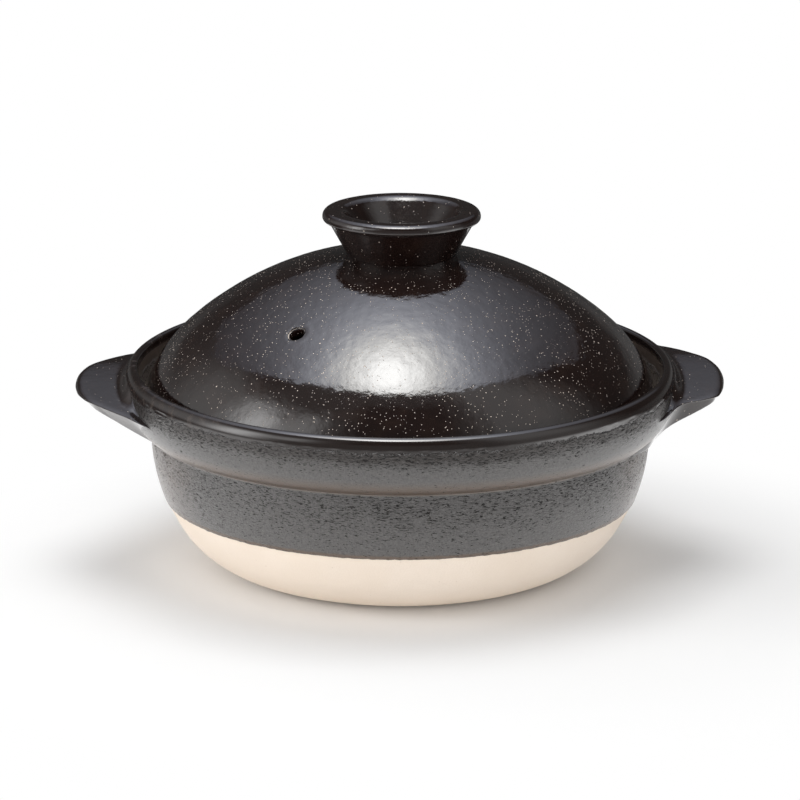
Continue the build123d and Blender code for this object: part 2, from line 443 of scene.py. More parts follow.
# %% Turn the inner coat
def cavity_run(outline, skin, gap):
    """The inside from the axis to the ledge's inner edge, a skin over the clay."""
    depth = wall_thickness + skin
    outline.begin((0, depth))
    outline.line((heel_centre[0], depth), gap)
    outline.arc(heel_centre, heel_end + pi / 2, gap)
    outline.arc(wall_centre, -heel_end, gap)
    outline.line((seat_inner - skin, seat_height), gap)
    return outline.first, outline.last


outline = Outline()
outside = cavity_run(outline, glaze, 1.5 * mm)
inside = cavity_run(outline, 0, 6 * mm)
outline.close(outside, inside)
inner_coat = throw(outline, 360)
for vert in inner_coat.verts:
    if vert.normal.z > -0.1 and vert.co.z < seat_height - 2 * mm:
        rings = 0.08 * sin((vert.co.z + vert.co.xy.length) / (3.1 * mm))
        vert.co -= vert.normal * (0.12 + rings + 0.06 * ripple(vert.co, 12 * mm)) * mm
piece(inner_coat, "bowl_glaze_inside", "bowl", "dark_glaze", "bowl_inner_glaze")

# %% [markdown]
# ## The lid's outer coat
# The dome is three arcs: a flat crown, a rounder brow and a tight turn down to the edge. Glaze
# settles in slow waves of a few millimetres, which is what breaks up the edge of a highlight.

# %% Turn the dome's coat
def dome_run(outline, offset, start_radius, foot, gap):
    """The dome from a start radius down to a foot height, at an offset outside the clay."""
    start = acos(start_radius / (crown_arc + offset))
    outline.begin(polar(crown_centre, crown_arc + offset, start))
    outline.arc(crown_centre, crown_end - start, gap)
    outline.arc(brow_centre, brow_end - crown_end, gap)
    outline.arc(edge_centre, -brow_end, gap)
    outline.line((lid_radius + offset, foot), gap)
    return outline.first, outline.last


outline = Outline()
coat_start = knob_neck - 3.4 * mm
outside = dome_run(outline, glaze, coat_start, coat_foot, 1.12 * mm)
inside = dome_run(outline, 0, coat_start, coat_foot, 9 * mm)
outline.close(outside, inside)
dome_coat = throw(outline, 600)
print("dome coat", len(dome_coat.verts), "vertices")

# %% [markdown]
# The steam hole was pierced through the wet clay with a tube, which raised a low ring and left a
# drag mark to each side. The glaze thinned at its edge in the kiln. The waves and these marks are
# heights in millimetres, added up at each vertex.

# %% Shape the glaze on the dome
hole_radius = hole_bore / 2
waves = ((0.055, 7 * mm), (0.045, 3.4 * mm), (0.1, 42 * mm))
drag = hole_axis.cross(Vector((1, 0.15, 0))).cross(hole_axis).normalized()
drag = (drag + 0.8 * hole_axis.cross(drag)).normalized()
for vert in dome_coat.verts:
    swell = sum(height * ripple(vert.co, size) for height, size in waves)
    out = vert.co - hole_middle
    side = out - hole_axis * out.dot(hole_axis)
    if side.length < 20 * mm and out.dot(hole_axis) > -3 * mm:
        swell += 0.05 * ease(-side.length, -8 * mm, -5.5 * mm)  # the low ring
        swell -= 0.16 * ease(-side.length, -5.2 * mm, -4.2 * mm)  # the thin edge
        run = side.dot(drag)  # the drag marks
        off = (side - drag * run).length
        swell += 0.045 * ease(-off, -1.6 * mm, 0) * ease(-abs(run), -15 * mm, -6 * mm)
    if vert.normal.dot(Vector((vert.co.x, vert.co.y, vert.co.z - crown_centre[1]))) > 0:
        vert.co += vert.normal * (swell - 0.06) * mm

# %% [markdown]
# ## Cutting the steam hole
# A boolean modifier takes a drill out of each layer of the lid, and the evaluated mesh is kept, so
# no live modifier is left. The drill through the glaze is wider and set off to one side, which
# leaves a crescent of bare clay at the hole's upper edge.

# %% The drill
drill_length = 28 * mm
hole_tilt = Vector((0, 0, 1)).rotation_difference(hole_axis).to_matrix()


def put(bm, turn, to=(0, 0, 0)):
    """Turns a mesh about the origin and moves it to a place."""
    bmesh.ops.rotate(bm, verts=bm.verts, cent=(0, 0, 0), matrix=turn)
    bmesh.ops.translate(bm, verts=bm.verts, vec=to)


def drill(radius, centre):
    """A round cutter along the hole's axis."""
    bm = bmesh.new()
    bmesh.ops.create_cone(bm, cap_ends=True, segments=72, radius1=radius, radius2=radius,
                          depth=drill_length)
    put(bm, hole_tilt, centre)
    return as_mesh(bm, "drill")


# %% Cut it out of a layer
def worked(holder):
    """Takes an object away and returns its mesh, with its modifiers applied, as a bmesh."""
    bpy.context.view_layer.update()
    done = bpy.data.meshes.new_from_object(holder.evaluated_get(bpy.context.evaluated_depsgraph_get()))
    bpy.data.objects.remove(holder)
    bm = bmesh.new()
    bm.from_mesh(done)
    return bm


def pierce(bm, cutter):
    """Takes a cutter out of a mesh."""
    holder = into_scene("pierced", as_mesh(bm, "pierced"))
    tool = into_scene("cutter", cutter)
    cut = holder.modifiers.new("cut", "BOOLEAN")
    cut.operation = "DIFFERENCE"
    cut.solver = "EXACT"
    cut.object = tool
    result = worked(holder)
    bpy.data.objects.remove(tool)
    return result


bare_side = Vector((-0.8, 0, 1))
bare_side = (bare_side - hole_axis * bare_side.dot(hole_axis)).normalized()
glaze_gap = 0.3 * mm
bare_shift = 0.35 * mm
dome_coat = pierce(dome_coat, drill(hole_radius + glaze_gap, hole_middle + bare_side * bare_shift))

# %% [markdown]
# Glaze also ran down inside the bore and lines it, so the hole looks black.

# %% Line the bore
bore_skin = 0.25 * mm
lining_top = 3.2 * mm
lining_foot = -2.5 * mm
lining = Outline((hole_radius, lining_top))
lining.line((hole_radius, lining_foot)).line((hole_radius - bore_skin, lining_foot))
lining.line((hole_radius - bore_skin, lining_top - bore_skin)).line((hole_radius, lining_top))
tube = throw(lining, 60)
put(tube, hole_tilt, hole_middle)
dome_coat.from_mesh(as_mesh(tube, "lining"))
piece(dome_coat, "lid_glaze_outside", "lid", "dark_glaze", "lid_outer_glaze")

# %% [markdown]
# ## The clay lid and its inner coat
# The clay shows where the lid stands on the ledge, as a bare band at the edge, and round the steam
# hole. The inner coat ends at the same height as the outer one.

# %% Turn the clay lid
outline = Outline((0, crown_height))
outline.arc(crown_centre, crown_end - pi / 2, 3 * mm)
outline.arc(brow_centre, brow_end - crown_end, 3 * mm)
outline.arc(edge_centre, -brow_end, 2 * mm)
outline.line((lid_radius, lid_foot), 0.6 * mm)
outline.line((lid_radius - lid_thickness, lid_foot), 0.6 * mm)
outline.soften((lid_radius, lid_foot), 1.6 * mm, 4)
outline.soften((lid_radius - lid_thickness, lid_foot), 1.6 * mm, 4)
outline.line((lid_radius - lid_thickness, edge_centre[1]), 0.8 * mm)
outline.arc(edge_centre, brow_end, 2 * mm)
outline.arc(brow_centre, crown_end - brow_end, 3 * mm)
outline.arc(crown_centre, pi / 2 - crown_end, 3 * mm)
outline.line((0, crown_height))
lid_clay = pierce(throw(outline, 360), drill(hole_radius, hole_middle))
piece(lid_clay, "lid_body", "lid", "bare_clay", "lid_clay")

# %% Turn the lid's inner coat
outline = Outline()
start = 0.01 * mm
outside = dome_run(outline, -lid_thickness, start, coat_foot, 5 * mm)
inside = dome_run(outline, -lid_thickness - glaze, start, coat_foot, 1.5 * mm)
outline.close(outside, inside)
under_coat = throw(outline, 360)
under_coat = pierce(under_coat, drill(hole_radius + glaze_gap, hole_middle))
piece(under_coat, "lid_glaze_inside", "lid", "dark_glaze", "lid_inner_glaze")

# %% [markdown]
# ## The knob
# The knob is a small flared cup, luted on by its foot: a neck, a cone that opens upwards, a rolled
# rim and a hollow dish for the fingertips. It was set on by eye, a little off the lid's axis.

# %% Turn the knob
neck_foot = 24.5 * mm
cone_top = 33.3 * mm
off_axis = 0.4 * mm
under_round = 1.4 * mm
over_round = 3.0 * mm
wall_slope = radians(52)
visible_depth = 13.0 * mm
floor_round = 0.4 * mm
cone_end = (cone_top, knob_top - rim_depth + 0.5 * mm)
outline = Outline((0, crown_height))
outline.arc(crown_centre, acos(neck_foot / crown_arc) - pi / 2, 4 * mm)
outline.line(cone_end, 0.8 * mm)
under_centre = (knob_radius - under_round, knob_top - rim_thickness + under_round)
outline.line(polar(under_centre, under_round, -pi / 2), 0.3 * mm)
outline.arc(under_centre, pi / 2, 0.3 * mm)
outline.line((knob_radius, knob_top - over_round), 0.3 * mm)
outline.arc((knob_radius - over_round, knob_top - over_round), pi / 2, 0.3 * mm)
outline.line((dish_radius, knob_top), 0.6 * mm)
dish_floor = knob_top - visible_depth
bottom_radius = dish_radius - (visible_depth - floor_round) / tan(wall_slope)
outline.line((bottom_radius, dish_floor + floor_round), 0.7 * mm)
outline.line((bottom_radius - 2 * mm, dish_floor), 0.7 * mm).line((0, dish_floor), 1.5 * mm)
outline.line((0, crown_height), 30 * mm)
outline.soften(cone_end, 0.8 * mm, 1)
outline.soften((dish_radius, knob_top), 2.4 * mm, 8)
outline.soften((bottom_radius, dish_floor + floor_round), 1.5 * mm, 2)
knob = throw(outline, 360)
for vert in knob.verts:
    if vert.co.z > crown_height - 1 * mm and vert.co.xy.length > 1 * mm:
        uneven = 0.03 * ripple(vert.co, 5 * mm) + 0.06 * ripple(vert.co, 26 * mm)
        vert.co += vert.normal * (uneven - 0.08) * mm
    vert.co.x += off_axis
piece(knob, "lid_knob_glazed", "lid", "dark_glaze", "lid_knob")

# %% [markdown]
# ## The lug handles
# Each lug is pressed by hand: a cambered pad that the fingers hold, a thick hull under it that
# tapers to the wall, and a cove of slip where it joins the collar. The three are made as plain
# blocks and melted into one skin by a voxel remesh, which rounds every join as wet clay does. The
# outline of a lug is given as plan points in millimetres, from its back to its tip and its front.

# %% Sizes of a lug
pad_top = 88.13 * mm
crease = 81.63 * mm
pad_edge = 1.8 * mm
pad_round = 3.4 * mm
front_drop = 5.6 * mm
root_half = 43.0 * mm
root_depth = 17.0 * mm
lug_reach = 23.55 * mm
underside_drop = 10.5 * mm
flank_recess = 0.8 * mm
overlap = 1 * mm
buried_end = 96 * mm
tip_and_back = [(96, 58), (116, 47), (126.5, 38.6), (131.5, 34.8), (138, 28), (144.2, 20.5),
                (147.6, 10.5), (148.2, 1), (146.6, -11)]
straight_front = [(142.2, -22.5), (135.6, -29.5), (128.9, -36.0), (123.4, -41.0), (118.2, -47.5), (96, -68)]
hollow_front = [(143.4, -22.5), (134, -27.6), (128.1, -29.2), (124.0, -33.5), (120, -41), (116.2, -49),
                (96, -66)]


# %% A lug's outline as a face
def plan_face(front, inset, height):
    """A lug's outline seen from above, drawn in by an inset, as a face with soft corners."""
    points = [(x * mm, y * mm) for x, y in tip_and_back + front]
    pen = Outline(points[0])
    for point in points[1:] + points[:1]:
        pen.line(point, 1.5 * mm)
    bm = pen.bm
    weld(bm)
    smooth(bm, bm.verts, 6)
    put(bm, Matrix.Rotation(-pi / 2, 3, "X"), (0, 0, height))
    face = bmesh.ops.contextual_create(bm, geom=bm.edges[:])["faces"]
    bm.normal_update()
    if inset:
        rim = bmesh.ops.inset_region(bm, faces=face, thickness=inset, use_even_offset=True,
                                     use_boundary=True)["faces"]
        bmesh.ops.delete(bm, geom=rim, context="FACES")
    return bm


def raise_face(bm, height):
    """Extrudes the only face of a mesh, up or down."""
    grown = bmesh.ops.extrude_face_region(bm, geom=bm.faces[:])["geom"]
    moved = [g for g in grown if isinstance(g, bmesh.types.BMVert)]
    bmesh.ops.translate(bm, verts=moved, vec=(0, 0, height))
    top = next(g for g in grown if isinstance(g, bmesh.types.BMFace))
    return moved, top


# %% The pad
def lug_pad(front):
    """The pad: an upright edge, a quarter round inset step by step, and a flat top."""
    bm = plan_face(front, 0, crease)
    _, top = raise_face(bm, pad_edge)
    bmesh.ops.recalc_face_normals(bm, faces=bm.faces)
    steps = 8
    path = [(pad_round * (1 - cos(a)), (pad_top - crease - pad_edge) * sin(a))
            for a in (pi / 2 * k / steps for k in range(steps + 1))]
    for here, there in zip(path, path[1:]):
        bmesh.ops.inset_region(bm, faces=[top], thickness=there[0] - here[0],
                               depth=there[1] - here[1], use_even_offset=True, use_boundary=True)
    return bm


# %% The hull
def lug_hull(front, flank_inset):
    """The hull under the pad, cut off by a slope from the tip down to the collar."""
    bm = plan_face(front, flank_recess, crease + overlap)
    lowered, _ = raise_face(bm, -root_depth - overlap)
    for vert in lowered:
        vert.co.y *= (root_half - flank_inset) / root_half
        vert.co.x -= flank_inset * ease(vert.co.x, buried_end, collar_radius)
    slope = Vector((lug_reach, 0, underside_drop)).normalized()
    bmesh.ops.bisect_plane(bm, geom=everything(bm), plane_co=(collar_radius + lug_reach, 0, crease),
                           plane_no=(slope.z, 0, -slope.x), clear_outer=True)
    bmesh.ops.holes_fill(bm, edges=bm.edges, sides=0)
    return bm


# %% The cove
cove_reach = 2.0 * mm
cove_foot = pad_top - 4 * mm


def lug_cove():
    """The cove of slip along the collar."""
    top = pad_top + 0.9 * cove_reach
    face = collar_radius + glaze
    behind = face - 3 * mm
    pen = Outline((behind, top))
    pen.line((face, top)).arc((face + cove_reach, top), pi / 2, 0.5 * mm)
    pen.line((face + cove_reach, cove_foot)).line((behind, cove_foot)).line((behind, top))
    bm = pen.bm
    weld(bm)
    half = asin(0.93 * root_half / face)
    put(bm, Matrix.Rotation(-half, 3, "Z"))
    section = bmesh.ops.contextual_create(bm, geom=bm.edges[:])["faces"]
    bmesh.ops.spin(bm, geom=section, cent=(0, 0, 0), axis=(0, 0, 1), angle=2 * half, steps=60)
    return bm


# %% [markdown]
# The melted lug is scribed to the collar: a plug with the collar's own outline, a little smaller,
# is taken out of it, so that nothing of the lug reaches into the bowl.

# %% Turn the plug that a lug is scribed with
bite = 1.5 * mm
plug_foot = 50 * mm
plug_top = 97 * mm
outline = Outline((0, plug_foot))
outline.line((wall_radius - bite, plug_foot)).line((wall_radius - bite, collar_foot - 2 * mm))
bite_arc = collar_arc - bite
bite_start = -acos((wall_radius - collar_centre[0]) / bite_arc)
outline.line(polar(collar_centre, bite_arc, bite_start)).arc(collar_centre, -bite_start, 2 * mm)
outline.line((collar_radius - bite, plug_top)).line((0, plug_top)).line((0, plug_foot))
plug_mesh = as_mesh(throw(outline, 240), "plug")

# %% Let the pad slope to the front
slope_start = 24 * mm
slope_run = 49 * mm
cove_drop = 6.1 * mm


def lug_fall(vert):
    """How far a point of the pad falls. The top slopes to the front, and the cove stays up longer."""
    share = min(1, max(0, (vert.co.z - crease) / (pad_top - crease)))
    forward = min(1, max(0, (slope_start - vert.co.y) / slope_run))
    pad = front_drop * forward**1.3
    end = ease(-vert.co.y, 18 * mm, 40 * mm)
    cove = cove_drop * end
    above = 0.85 * end * max(0, vert.co.z - pad_top)
    outer = ease(vert.co.xy.length, collar_radius + 1 * mm, collar_radius + 4.5 * mm)
    return share * (cove + (pad - cove) * outer) + above


# %% Melt the blocks into one lug
voxel = 0.42 * mm


def make_lug(front, flank_inset, droop):
    """A lug on the +X side, with its front edge as drawn."""
    joined = bmesh.new()
    for part in (lug_pad(front), lug_hull(front, flank_inset), lug_cove()):
        bmesh.ops.recalc_face_normals(part, faces=part.faces)
        joined.from_mesh(as_mesh(part, "block"))
    holder = into_scene("blocks", as_mesh(joined, "blocks"))
    melt = holder.modifiers.new("melt", "REMESH")
    melt.mode = "VOXEL"
    melt.voxel_size = voxel
    bm = worked(holder)
    for vert in bm.verts:
        vert.co.z -= lug_fall(vert)
        vert.co.z += droop * min(0, vert.co.y + slope_run - slope_start)
    root = [v for v in bm.verts if v.co.xy.length < collar_radius + 5 * mm and v.co.z > crease]
    above = [v for v in bm.verts if v.co.z > crease + 1.2 * mm]
    for verts, rounds in ((root, 40), (above, 10), (bm.verts, 3)):
        smooth(bm, verts, rounds, "xyz")
    return bm


# %% [markdown]
# The two lugs are not twins. The left one has a straight front edge, and the right one is hollowed
# there where a finger smoothed it. Both droop a little towards the front.

# %% Place the two lugs
for side, front, flank_inset, droop, lean, lift in (
        ("right", hollow_front, 7.0 * mm, 0.09, 0.035, 0.9 * mm),
        ("left", straight_front, 11.0 * mm, 0.15, 0.005, 0.1 * mm)):
    lug = make_lug(front, flank_inset, droop)
    if side == "left":
        bmesh.ops.scale(lug, verts=lug.verts, vec=(-1, 1, 1))
        bmesh.ops.reverse_faces(lug, faces=lug.faces)
    lug.normal_update()
    for vert in lug.verts:
        vert.co += vert.normal * 0.04 * mm * (ripple(vert.co, 9 * mm) - 0.5)
        vert.co.z += vert.co.y * lean + lift
    lug = pierce(lug, plug_mesh.copy())
    piece(lug, "lug_" + side, "bowl", "dark_glaze", "handle_" + side)

# %% [markdown]
# ## Writing shader maths as sums
# A node tree is easier to read as arithmetic. A small class wraps one output socket. Adding,
# multiplying or comparing two of them adds the Math node that does it, and vectors go through the
# Vector Math node. Every other node comes from its node method: the kind of node, its settings, and
# the values or links of its sockets.

# %% The socket class
class Wire:
    """One output socket of a node tree, which can stand in an expression."""

    def __init__(self, socket):
        self.socket = socket
        self.tree = socket.id_data

    def node(self, kind, settings, inputs, out=0):
        """Adds a node: its settings first, then the value or the link of each named input."""
        return add_node(self.tree, kind, settings, inputs, out)

    def math(self, operation, *others):
        """Adds a Math node with this socket as its first input."""
        values = dict(enumerate((self, *others)))
        return self.node("ShaderNodeMath", {"operation": operation}, values)

    def vector(self, operation, *others, out=0):
        """Adds a Vector Math node with this vector as its first input."""
        values = dict(enumerate((self, *others)))
        return self.node("ShaderNodeVectorMath", {"operation": operation}, values, out)

    def length(self):
        """How long this vector is."""
        return self.vector("LENGTH", out=1)

    def __add__(self, other):
        return self.math("ADD", other)

    __radd__ = __add__

    def __sub__(self, other):
        return self.math("SUBTRACT", other)

    def __rsub__(self, other):
        return add_node(self.tree, "ShaderNodeMath", {"operation": "SUBTRACT"}, {0: other, 1: self})

    def __mul__(self, other):
        return self.math("MULTIPLY", other)

    __rmul__ = __mul__

    def __truediv__(self, other):
        return self.math("DIVIDE", other)

    def __pow__(self, other):
        return self.math("POWER", other)

    def larger(self, other):
        return self.math("MAXIMUM", other)

    def ease(self, low, high):
        """0 below low, 1 above high, and a smooth rise between."""
        return self.node("ShaderNodeMapRange", {"interpolation_type": "SMOOTHSTEP"},
                         {"Value": self, "From Min": low, "From Max": high})

    def blend(self, colour_at_0, colour_at_1):
        """A colour between two, with this socket as the share of the second."""
        return self.node("ShaderNodeMix", {"data_type": "RGBA"},
                         {0: self, 6: colour_at_0, 7: colour_at_1}, 2)

    def noise(self, size, detail=2.0, roughness=0.5):
        """Noise from 0 to 1 over this vector, whose lumps are about a size across."""
        return self.node("ShaderNodeTexNoise", {},
                         {"Vector": self, "Scale": 1 / size, "Detail": detail, "Roughness": roughness})

    def stretched(self, x, y, z):
        """This vector with each axis scaled."""
        return self.node("ShaderNodeMapping", {}, {"Vector": self, "Scale": (x, y, z)})

    def split(self, axis):
        """One axis of this vector."""
        return self.node("ShaderNodeSeparateXYZ", {}, {0: self}, "XYZ".index(axis))


def add_node(tree, kind, settings, inputs, out=0):
    """Adds a node to a tree and returns one of its outputs."""
    node = tree.nodes.new(kind)
    for name, value in settings.items():
        setattr(node, name, value)
    for name, value in inputs.items():
        if isinstance(value, Wire):
            tree.links.new(value.socket, node.inputs[name])
        else:
            node.inputs[name].default_value = value
    return Wire(node.outputs[out])


# %% [markdown]
# A material starts with one Principled shader, and wires feed its sockets. A bump gives relief, and
# a second shader can be laid over the first by a share.

# %% Start a material and feed it
def new_material(name):
    """A material with a Principled shader. Returns it, the shader and the object coordinates."""
    material = bpy.data.materials.new(name)
    material.use_nodes = True
    tree = material.node_tree
    shader = next(n for n in tree.nodes if n.type == "BSDF_PRINCIPLED")
    place = add_node(tree, "ShaderNodeTexCoord", {}, {}, 3)
    return material, shader, place


def feed(node, name, wire):
    """Links a socket of a node."""
    node.id_data.links.new(wire.socket, node.inputs[name])


def lay_over(shader, share, other):
    """Shows another shader in place of this one, by a share."""
    mixed = share.node("ShaderNodeMixShader", {}, {0: share, 1: Wire(shader.outputs[0]), 2: other})
    output = next(n for n in shader.id_data.nodes if n.type == "OUTPUT_MATERIAL")
    feed(output, "Surface", mixed)


def relief(height, depth, base=None):
    """A bump of a depth in metres where height goes from 0 to 1."""
    inputs = {"Height": height, "Distance": depth, "Strength": 1.0}
    if base:
        inputs["Normal"] = base
    return height.node("ShaderNodeBump", {}, inputs)


# %% [markdown]
# ## The dark glaze
# An iron-rich glaze, almost black, that breaks to brown where it is thin. Tiny grains of pale clay
# burst through it and leave pinholes a few tenths of a millimetre wide. They are matt, so they show
# pale on the dark parts and dark within a highlight.

# %% Mix the dark glaze
glass_index = 1.54
pale_grain = (0.56, 0.48, 0.42, 1)


def pinholes(place, spacing, radius, share):
    """Dots of up to a radius in a share of the cells of a Voronoi pattern."""
    cells = {"Vector": place, "Scale": 1 / spacing, "Randomness": 1.0}
    distance = place.node("ShaderNodeTexVoronoi", {}, cells)
    tone = place.node("ShaderNodeTexVoronoi", {}, cells, 1)
    chosen = 1 - tone.node("ShaderNodeSeparateColor", {}, {0: tone}).ease(share - 0.02, share + 0.02)
    return (1 - distance.ease(radius / spacing * 0.6, radius / spacing)) * chosen


def dark_glaze(name, specks=1.0, roughness=0.09, peel=0.07):
    """Near-black gloss with pinholes."""
    material, shader, place = new_material(name)
    crowd = place.noise(24 * mm, 2.0).ease(0.38, 0.66)
    dust = pinholes(place, 1.4 * mm, 0.24 * mm, 0.6 * specks)
    small = pinholes(place, 2.2 * mm, 0.3 * mm, 0.55 * specks)
    large = pinholes(place, 6.5 * mm, 0.4 * mm, 0.5 * specks)
    speck = (dust * (crowd * 0.85 + 0.05)).larger(small * (crowd * 0.6 + 0.4)).larger(large)
    thin = place.noise(9 * mm, 3.0).ease(0.45, 0.75)
    body = thin.blend((0.0090, 0.0046, 0.0038, 1), (0.0135, 0.0072, 0.0055, 1))
    feed(shader, "Base Color", speck.blend(body, pale_grain))
    feed(shader, "Roughness", (speck * 0.6 + roughness).math("MINIMUM", 0.8))
    skin = relief(place.noise(2.3 * mm, 3.0), peel * mm)
    feed(shader, "Normal", relief(1 - speck, 0.2 * mm, skin))
    shader.inputs["IOR"].default_value = glass_index
    matt = place.node("ShaderNodeBsdfDiffuse", {}, {"Color": pale_grain})
    lay_over(shader, speck * 0.85, matt)
    return material


# %% [markdown]
# ## The wall glaze
# The same glaze, wiped thin and fired to a grey satin. It changes with height: a brown line at its
# lower edge, grey with dark dashes on the wall, a pale line along the step's edge, a brown band
# that fades to smooth grey, a rough brown fringe, and then the thick gloss of the lip. Heights in it
# are in millimetres.

# %% Mix the wall glaze
def wall_glaze(name):
    """Grey satin on the wall that turns to dark gloss at the lip."""
    material, shader, place = new_material(name)
    height = place.split("Z") / mm
    wander = place.noise(14 * mm, 3.0) - 0.5
    ragged = place.stretched(1, 1, 1.6).noise(2.4 * mm, 4.0, 0.65) - 0.5
    pressed = place.node("ShaderNodeAttribute", {"attribute_name": "dash"}, {}, 2)

    lip = (height + wander * 4.0 + ragged * 4.0).ease(85.1, 86.3)
    fringe = (height + wander * 5.0 + ragged * 6.0).ease(79.0, 83.6)
    band = height.ease(64.2, 63.6)
    crowd = (wander + 0.5).ease(0.38, 0.62)
    wiped = (place.split("X") / mm).ease(-85.0, -20.0)
    dense = height.ease(36.0, 57.0) * band * (crowd * 0.4 + 0.6) * (wiped * 0.4 + 0.6)
    fraying = (height + wander * 6.0).ease(74.0, 81.0)
    amount = (dense + fraying * 0.9).math("MINIMUM", 1) + band * 0.25

    bent = place.noise(5 * mm, 2.0) - 0.5
    slant = place.node("ShaderNodeCombineXYZ", {}, {2: bent * (2.5 * mm)})
    moved = place.vector("ADD", slant)
    streaks = moved.stretched(1, 1, 4.6).noise(2.0 * mm, 2.6, 0.58)
    start = 0.662 - amount * 0.09 - fringe * 0.04
    dashes = (streaks - start).ease(-0.005, 0.03)
    dark = dashes.larger(pressed * 0.12)

    rust = height.ease(73.0, 67.5) * height.ease(63.6, 64.4) * (ragged + 0.9).math("MINIMUM", 1)
    edge_line = (height + ragged * 1.6).ease(35.3, 34.2)
    # The colour is paler along the step's edge.
    pale_step_line = (height + ragged * 0.4).ease(63.5, 63.9) * (height + ragged * 0.5).ease(64.9, 64.3)
    fine = place.stretched(1, 1, 0.5).noise(0.7 * mm, 2.0)

    grey = fine.ease(0.3, 0.7).blend((0.042, 0.039, 0.038, 1), (0.066, 0.062, 0.060, 1))
    tone = (rust * 0.95).blend(grey, (0.058, 0.034, 0.019, 1))
    tone = (pale_step_line * 0.5).blend(tone, (0.13, 0.12, 0.11, 1))
    tone = (edge_line * 0.85).blend(tone, (0.075, 0.045, 0.025, 1))
    tone = (fringe * 0.9).blend(tone, (0.014, 0.009, 0.007, 1))
    tone = (dark * 0.95).blend(tone, (0.007, 0.0055, 0.005, 1))
    radius = place.vector("MULTIPLY", (1, 1, 0)).length() / mm
    inner = radius.ease(120.8, 120.0) * height.ease(91.5, 89.5)
    across = place.split("X") / mm
    mottle = place.noise(6.0 * mm, 4.0, 0.65).ease(0.48, 0.66)
    worn = (mottle * across.ease(-55.0, -100.0) * 0.7).larger(inner * 0.9)
    # Painted sheen: the inner wall of the rim is painted lighter towards the left and right sides, where it
    # catches the light.
    painted_side_sheen = inner * across.math("ABSOLUTE").ease(88.0, 108.0) * (mottle * 0.4 + 0.6)
    glossy = lip.blend(tone, (0.0095, 0.0055, 0.0045, 1))
    glossy = (worn * lip).blend(glossy, (0.024, 0.015, 0.011, 1))
    feed(shader, "Base Color", painted_side_sheen.blend(glossy, (0.085, 0.064, 0.052, 1)))
    satin = 0.37 - fringe * 0.08 + dark * 0.2
    feed(shader, "Roughness", satin * (1 - lip) + lip * (worn * 0.26 + 0.11))
    grain = place.stretched(1, 1, 1.8).noise(0.9 * mm, 3.0, 0.6)
    body = 1 - lip
    rough = relief(grain * body * (fringe * 1.5 + band * 0.6 + 0.35), 0.12 * mm)
    wrinkle = moved.stretched(1, 1, 3.2).noise(2.4 * mm, 3.0, 0.6)
    wrinkled = relief(wrinkle * body * (amount * 0.85 + 0.15), 0.6 * mm, rough)
    feed(shader, "Normal", relief(1 - dashes * body, 0.2 * mm, wrinkled))
    shader.inputs["IOR"].default_value = glass_index
    pit = place.node("ShaderNodeBsdfDiffuse", {}, {"Color": (0.007, 0.006, 0.0055, 1)})
    lay_over(shader, dark * body * 0.6, pit)
    return material


# %% [markdown]
# ## The bare clay
# Unglazed stoneware, cream and dry. It has a fine grain, a few dark grains of iron, and faint
# upright marks where a wet brush cleaned the glaze off the foot.

# %% Mix the bare clay
def bare_clay(name):
    """Cream stoneware with a fine grain."""
    material, shader, place = new_material(name)
    height = place.split("Z") / mm
    cloud = place.noise(30 * mm, 3.0)
    grain = place.noise(0.8 * mm, 3.0, 0.6)
    warm = height.ease(16.0, 0.0)
    brush = place.stretched(1, 1, 0.06).noise(1.3 * mm, 2.0, 0.6)
    iron = pinholes(place, 4.2 * mm, 0.35 * mm, 0.35)
    tone = cloud.ease(0.3, 0.7).blend((0.80, 0.695, 0.59, 1), (0.83, 0.73, 0.63, 1))
    tone = (warm * 0.3).blend(tone, (0.79, 0.64, 0.49, 1))
    tone = (grain.ease(0.35, 0.7) * 0.16).blend(tone, (0.74, 0.62, 0.51, 1))
    tone = (iron * 0.3).blend(tone, (0.38, 0.27, 0.19, 1))
    feed(shader, "Base Color", tone)
    feed(shader, "Roughness", grain * 0.1 + 0.8)
    feed(shader, "Normal", relief(brush, 0.05 * mm, relief(grain, 0.08 * mm)))
    return material


# %% Put the finishes on
finishes = {
    "bowl_glaze_outside": wall_glaze("satin wall glaze"),
    "bowl_body": bare_clay("bare clay"),
    "lid_glaze_outside": dark_glaze("dark lid glaze"),
}
finishes["lid_body"] = finishes["bowl_body"]
finishes["lid_knob_glazed"] = dark_glaze("dark knob glaze", specks=0.3)
for name in ("bowl_glaze_inside", "lid_glaze_inside", "lug_right", "lug_left"):
    finishes[name] = dark_glaze("dark glaze on " + name, specks=0.25, roughness=0.16)
for name, material in finishes.items():
    bpy.data.objects[name].data.materials.append(material)
print("finishes:", len(finishes))

# %% [markdown]
# ## Floor and light
# The pot stands on a white floor in a white studio. Near the pot the floor takes its shadow, and
# further out it is plain white. Gloss shows whatever stands around it, so the studio is set up for
# the gloss: a wide panel overhead, a tall card on the left, and grey flags all round that keep the
# white walls out of the dome. The lamps that light the clay are separate and plain.

# %% Lay the floor
def stage_object(bm, name, material):
    """A mesh that belongs to the studio and not to the pot."""
    made = into_scene(name, as_mesh(bm, name))
    made.data.materials.append(material)
    return made


def emitter(name):
    """A material with no shader yet. Returns it, its output node and the object coordinates."""
    material = bpy.data.materials.new(name)
    material.use_nodes = True
    tree = material.node_tree
    tree.nodes.clear()
    output = tree.nodes.new("ShaderNodeOutputMaterial")
    return material, output, add_node(tree, "ShaderNodeTexCoord", {}, {}, 3)


def ray_kinds(tree):
    """Whether a ray is a camera ray, a glossy one or a transmitted one, as three sockets."""
    return [add_node(tree, "ShaderNodeLightPath", {}, {}, "Is " + kind + " Ray")
            for kind in ("Camera", "Glossy", "Transmission")]


